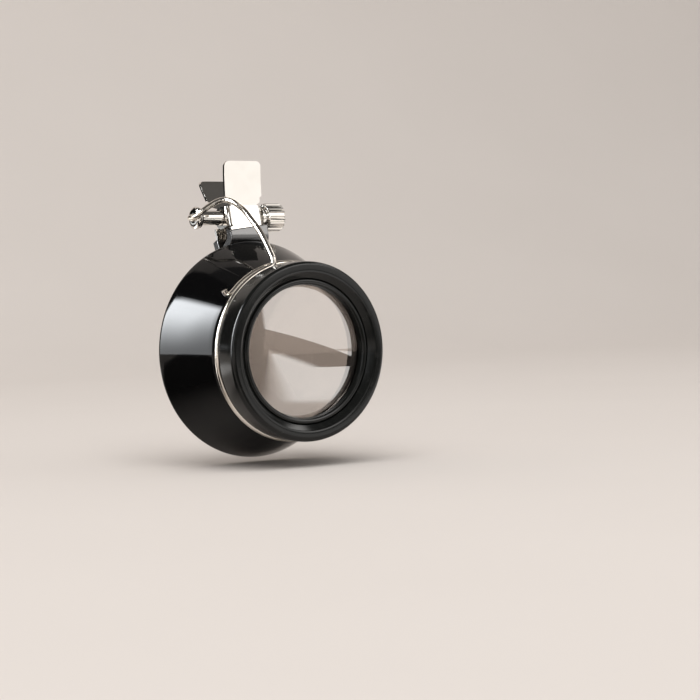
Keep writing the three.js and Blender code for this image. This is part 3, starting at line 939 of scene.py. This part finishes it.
def plate(name, node):
    """A jaw's bent sheet with softened edges."""
    piece = from_solid(name, node)
    ease_edges(piece, PLATE_EASE, segments=3, angle=SMOOTH_ANGLE)
    return piece


def sleeve(name, node, cut):
    """A sleeve whose open end is trimmed at a slant across its width."""
    piece = from_solid(name, node)
    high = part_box(node)[1]
    slope = math.tan(math.radians(cut))
    for vertex in piece.data.vertices:
        if high.z - vertex.co.z < SLEEVE_MOUTH * MM:
            vertex.co.z += slope * (vertex.co.x - high.x / 2)
    ease_edges(piece, SLEEVE_EASE, segments=4, angle=SMOOTH_ANGLE)
    return piece


# The pieces, each with its slot, its body and its solid

finish_piece(polished_lens(), "optical_glass", "loupe", "lens")
finish_piece(retaining_bead(), "satin_black_plastic", "loupe", "lens_retaining_ring")
finish_piece(bezel_ring(), "satin_black_plastic", "loupe", "front_bezel")
finish_piece(eye_cup(), "gloss_black_plastic", "loupe", "housing")
finish_piece(bent_wire(), "spring_wire", "holder", "wire_bracket")
finish_piece(domed_screw(), "nickel_plate", "holder", "pivot_screw")
finish_piece(ridged_nut(), "nickel_plate", "nut", "knurled_nut")

front_plate = plate("front_plate", "front_jaw")
finish_piece(front_plate, "nickel_plate", "clip_front", "front_jaw")
rear_plate = plate("rear_plate", "rear_jaw")
finish_piece(rear_plate, "nickel_plate", "clip_rear", "rear_jaw")
front_sleeve = sleeve("front_sleeve", "front_jaw_sleeve", SLEEVE_CUT)
finish_piece(front_sleeve, "dark_vinyl", "clip_front", "front_jaw_sleeve")
rear_sleeve = sleeve("rear_sleeve", "rear_jaw_sleeve", 0)
finish_piece(rear_sleeve, "dark_vinyl", "clip_rear", "rear_jaw_sleeve")

pivot_tube = ring_piece("pivot_tube", "hinge_tube", TUBE_EASE)
finish_piece(pivot_tube, "nickel_plate", "clip_front", "hinge_tube")
black_washer = ring_piece("black_washer", "friction_washer", WASHER_EASE)
finish_piece(black_washer, "gloss_black_plastic", "clip_front", "friction_washer")
steel_washer = ring_piece("steel_washer", "nut_washer", WASHER_EASE)
finish_piece(steel_washer, "nickel_plate", "clip_front", "nut_washer")

spring = torsion_spring()
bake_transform(spring)
finish_piece(spring, "spring_wire", "clip_front", "jaw_spring")


# Stage: a pale sweep, soft boxes, black flags and the camera, in millimetres and degrees

FLOOR_DROP = 0.7
FLAG_LIFT = 1
SWEEP_WIDTH = 20000
SWEEP_BACK = 700
SWEEP_FRONT = 2500
SWEEP_HEIGHT = 1500
SWEEP_BEND = 350
SWEEP_SEGMENTS = 24
WARM = (1.0, 0.97, 0.94)
COOL = (0.94, 0.97, 1.0)
UP = Vector((0, 0, 1))

# The centre of the bezel's front, and the place under it just above the floor
EYE = LOUPE / MM
FLOOR = EYE + UP * (cad_low.z / MM - FLOOR_DROP + FLAG_LIFT - EYE.z)


def pale_sweep():
    """A floor that bends up into a wall behind the part."""
    deselect()
    floor_z = cad_low.z - FLOOR_DROP * MM
    bpy.ops.mesh.primitive_plane_add(size=1, location=(0, (SWEEP_BACK - SWEEP_FRONT) / 2 * MM, floor_z))
    sweep = bpy.context.object
    sweep.name = "pale_sweep"
    sweep.scale = (SWEEP_WIDTH * MM, (SWEEP_BACK + SWEEP_FRONT) * MM, 1)
    bpy.ops.object.transform_apply(location=True, rotation=True, scale=True)
    bpy.ops.object.mode_set(mode="EDIT")
    bpy.ops.mesh.select_all(action="DESELECT")
    bpy.ops.object.mode_set(mode="OBJECT")
    for rim in sweep.data.edges:
        ends = [sweep.data.vertices[i].co.y for i in rim.vertices]
        rim.select = min(ends) > 0
    bpy.ops.object.mode_set(mode="EDIT")
    bpy.ops.mesh.extrude_region_move(TRANSFORM_OT_translate={"value": (0, 0, SWEEP_HEIGHT * MM)})
    bpy.ops.object.mode_set(mode="OBJECT")
    bend = sweep.modifiers.new("bend", "BEVEL")
    bend.width = SWEEP_BEND * MM
    bend.segments = SWEEP_SEGMENTS
    bpy.ops.object.modifier_apply(modifier="bend")
    bpy.ops.object.shade_smooth()
    sweep.data.materials.append(pale_paper())


def soft_box(name, centre, facing, size, fades, radiance=0, tint=WARM, roll=0, least=0):
    """A soft box that is mirrored in the part, or a black flag where it has no radiance.

    fades gives the share of the box over which its left, right, low and high sides fade out,
    and least is the share of its light that the fading leaves.
    """
    deselect()
    bpy.ops.mesh.primitive_plane_add(size=1, location=Vector(centre) * MM)
    box = bpy.context.object
    box.name = name
    box.scale = (size[0] * MM, size[1] * MM, 1)
    box.rotation_mode = "QUATERNION"
    spin = Quaternion((0, 0, 1), math.radians(roll))
    box.rotation_quaternion = Vector(facing).to_track_quat("Z", "Y") @ spin
    f = Finish(name, Base_Color=rgb(0, 0, 0), Specular_IOR_Level=0.0)
    f.set(Emission_Color=rgb(*tint), Emission_Strength=radiance)
    spot = f.node("TexCoord", "Object")
    glow = 1
    for axis, (low_fade, high_fade) in zip("XY", (fades[:2], fades[2:])):
        place = f.node("SeparateXYZ", axis, Vector=spot)
        glow = glow * f.between(place, -0.5, -0.5 + low_fade)
        glow = glow * (1 - f.between(place, 0.5 - high_fade, 0.5))
    f.set(Alpha=glow * (1 - least) + least)
    box.data.materials.append(f.material)
    box.visible_camera = False
    box.visible_diffuse = False
    box.visible_transmission = False
    box.visible_shadow = False


def fill_light(name, centre, size, radiance):
    """A large soft light over the stage that lights the paper and isn't mirrored in the metal."""
    data = bpy.data.lights.new(name, "AREA")
    data.shape = "SQUARE"
    data.size = size * MM
    data.energy = radiance * math.pi * data.size ** 2
    light = bpy.data.objects.new(name, data)
    bpy.context.collection.objects.link(light)
    light.location = Vector(centre) * MM
    light.rotation_mode = "QUATERNION"
    light.rotation_quaternion = (LOUPE - light.location).to_track_quat("-Z", "Y")
    light.visible_camera = False
    light.visible_glossy = False


def soft_world(mirrored, lit, seen):
    """A room all round: dim in reflections, brighter as a soft light, and pale paper to the camera."""
    world = bpy.data.worlds.new("soft_room")
    world.use_nodes = True
    room = Nodes(world.node_tree)
    glow = room.mix(room.node("LightPath", "Is_Diffuse_Ray"), rgb(*mirrored), rgb(*lit))
    glow = room.mix(room.node("LightPath", "Is_Camera_Ray"), glow, rgb(*seen))
    room.fill(room.tree.nodes["Background"], Color=glow)
    bpy.context.scene.world = world


def photograph_camera():
    """A camera at the photograph's angle that puts the bezel's centre on its pixel."""
    a, e = math.radians(VIEW_AZIMUTH), math.radians(VIEW_ELEVATION)
    back = Vector((math.sin(a) * math.cos(e), -math.cos(a) * math.cos(e), math.sin(e)))
    data = bpy.data.cameras.new("camera")
    data.lens = FOCAL_PIXELS / IMAGE * data.sensor_width
    data.clip_start = VIEW_CLIP * MM
    camera = bpy.data.objects.new("camera", data)
    bpy.context.collection.objects.link(camera)
    across = (AIM_PIXEL[0] - IMAGE / 2) / FOCAL_PIXELS
    upward = (IMAGE / 2 - AIM_PIXEL[1]) / FOCAL_PIXELS
    swing = Vector((across, upward, -1)).rotation_difference(Vector((0, 0, -1)))
    roll = Quaternion((0, 0, 1), math.radians(VIEW_ROLL))
    camera.rotation_mode = "QUATERNION"
    camera.rotation_quaternion = (-back).to_track_quat("-Z", "Y") @ roll @ swing
    camera.location = LOUPE + back * VIEW_DISTANCE * MM
    bpy.context.scene.camera = camera


def toward(azimuth):
    """A level direction from the part; azimuth 0 is straight ahead of the lens and 90 to its right."""
    a = math.radians(azimuth)
    return Vector((math.sin(a), -math.cos(a), 0))


def even(share):
    """The same fade on all four sides of a soft box."""
    return (share, share, share, share)


# Level directions from the part to its lights; front is where its flat front mirrors the camera's view
FRONT_ROLL = 16
SIDE_AZIMUTH = -57
OVER_AZIMUTH = 78
FAR_AZIMUTH = 9
LOW_AZIMUTH = 18
front = toward(-VIEW_AZIMUTH)
side = toward(SIDE_AZIMUTH)
over = toward(OVER_AZIMUTH)
far = toward(FAR_AZIMUTH)
low_ahead = toward(LOW_AZIMUTH)
low_right = toward(LOW_AZIMUTH + 90)

pale_sweep()

# In front of the part
soft_box(
    "front_box", EYE + front * 600 + UP * 300, facing=-front, size=(1300, 640),
    fades=(0.2, 0.2, 0.02, 0.25), radiance=1.36, roll=FRONT_ROLL,
)
soft_box(
    "high_box", EYE + front * 560 + UP * 340, facing=-front - UP * 0.4, size=(500, 260),
    fades=even(0.3), radiance=4.2,
)

# To its left
soft_box(
    "left_box", (-450, 155, 212), facing=(1, 0, 0), size=(230, 515),
    fades=(0.5, 0.1, 0.65, 0.18), radiance=33, tint=COOL, least=0.15,
)
soft_box(
    "left_shade", FLOOR + Vector((-357, 110, 0)), facing=UP, size=(720, 52),
    fades=(0.05, 0.01, 0.1, 0.1), roll=-17,
)
soft_box(
    "low_left_box", FLOOR + Vector((-64, 96, 0)), facing=UP, size=(76, 70),
    fades=even(0.2), radiance=2.4,
)
soft_box(
    "left_flag", (-400, 240, 540), facing=(0.58, -0.34, -0.74), size=(420, 420),
    fades=even(0.1),
)
soft_box(
    "side_box", EYE + side * 600 + UP * 230, facing=-side, size=(110, 560),
    fades=(0.3, 0.3, 0.1, 0.3), radiance=6.5, tint=COOL,
)

# High to its right
soft_box(
    "top_box", EYE + over * 500 + UP * 480, facing=-over - UP * 0.96, size=(270, 250),
    fades=even(0.3), radiance=4.5,
)

# Ahead of it, on the floor and near the lens
soft_box(
    "low_box", FLOOR + low_ahead * 255 + low_right * 126, facing=UP, size=(260, 450),
    fades=(0.04, 0.05, 0.02, 0.1), radiance=1.6, roll=LOW_AZIMUTH,
)
soft_box(
    "low_shade", FLOOR + low_ahead * 1010 - low_right * 52, facing=UP, size=(100, 2000),
    fades=(0.1, 0.05, 0.02, 0.01), roll=LOW_AZIMUTH,
)
soft_box(
    "far_shade", EYE + far * 420 + UP * 80, facing=-far, size=(115, 252),
    fades=(0.12, 0.12, 0.01, 0.3),
)
soft_box(
    "dark_bar", EYE + front * 150 - UP * 7.5, facing=-front, size=(300, 26),
    fades=(0.02, 0.02, 0.25, 0.04), roll=FRONT_ROLL,
)

# Behind it
soft_box(
    "back_box", UP * 7 - front * 480, facing=front, size=(110, 13),
    fades=(0.3, 0.3, 0.1, 0.3), radiance=1.6, tint=COOL,
)
soft_box(
    "back_shade", UP * 100 - front * 520, facing=front, size=(420, 560),
    fades=(0.2, 0.2, 0.1, 0.1),
)

fill_light("fill", (-300, -500, 1100), size=1200, radiance=2.7)
soft_world(mirrored=(0.1, 0.096, 0.092), lit=(0.54, 0.53, 0.522), seen=(0.5, 0.47, 0.45))
photograph_camera()

scene = bpy.context.scene
scene.view_settings.view_transform = "Standard"
scene.view_settings.look = "None"
